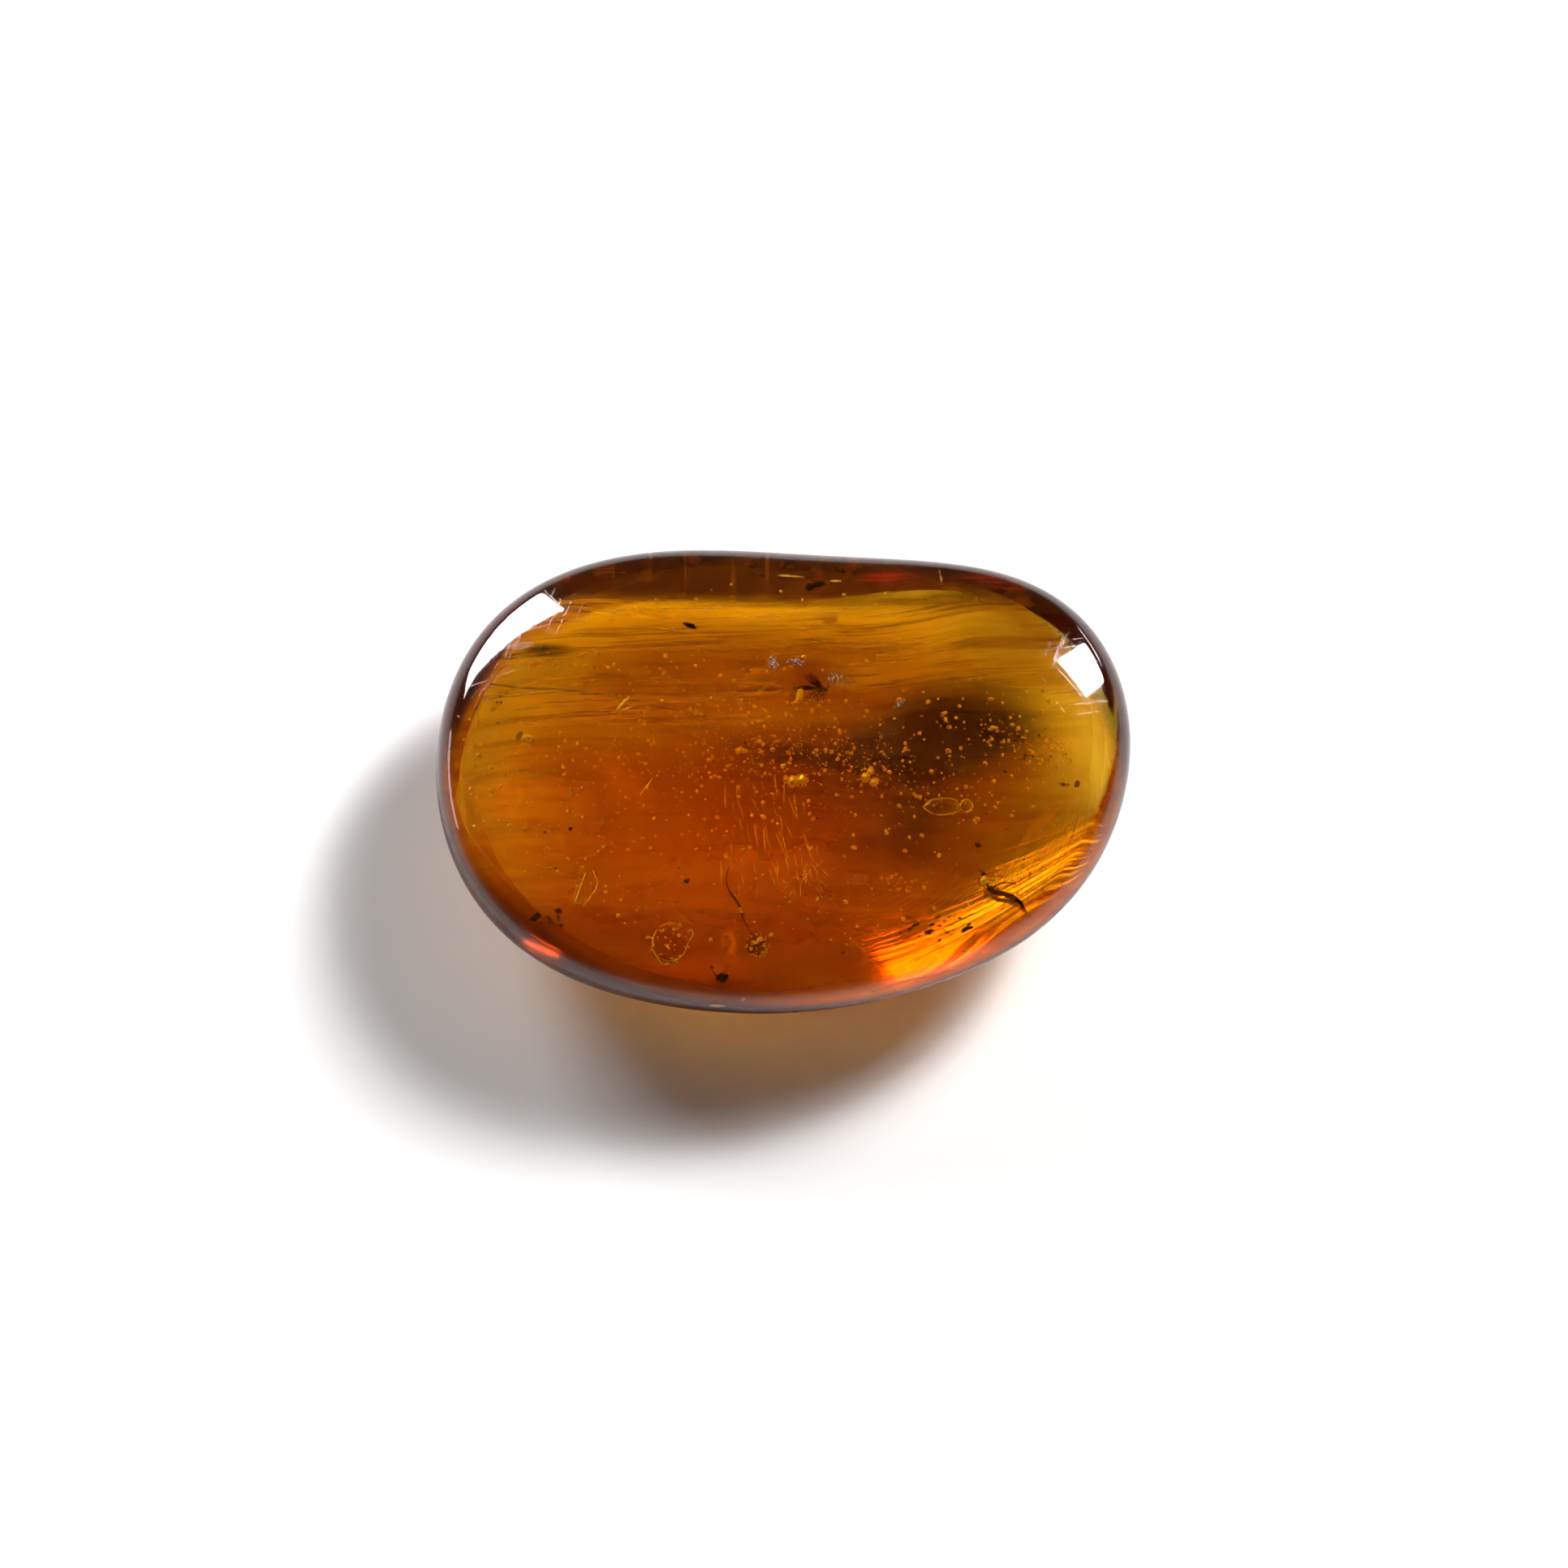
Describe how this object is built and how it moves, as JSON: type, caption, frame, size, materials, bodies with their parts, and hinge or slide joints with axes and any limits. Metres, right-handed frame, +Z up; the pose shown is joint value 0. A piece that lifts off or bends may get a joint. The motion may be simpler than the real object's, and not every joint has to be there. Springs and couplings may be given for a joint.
{
  "type": "amber with insect inclusion",
  "caption": "Polished pebble of clear golden-brown amber with a slightly domed top, a small flat resting spot, and insects and a dark pellet sealed inside.",
  "frame": {"origin": "on the surface that the pebble rests on, under the middle of its outline", "axes": "+X along the pebble's longest way, +Z up through its thickness, +Y towards its straighter edge"},
  "size_m": [0.0362, 0.0252, 0.01],
  "materials": {
    "amber": "polished clear golden-brown resin, fine scratches",
    "insect": "dark brown insect husk, slightly glossy",
    "debris": "dull black plant and soil debris"
  },
  "bodies": {
    "root": {"amber_upper": "amber", "amber_lower": "amber", "midge": "insect", "curled_insect": "insect", "black_pellet": "debris"}
  },
  "joints": []
}
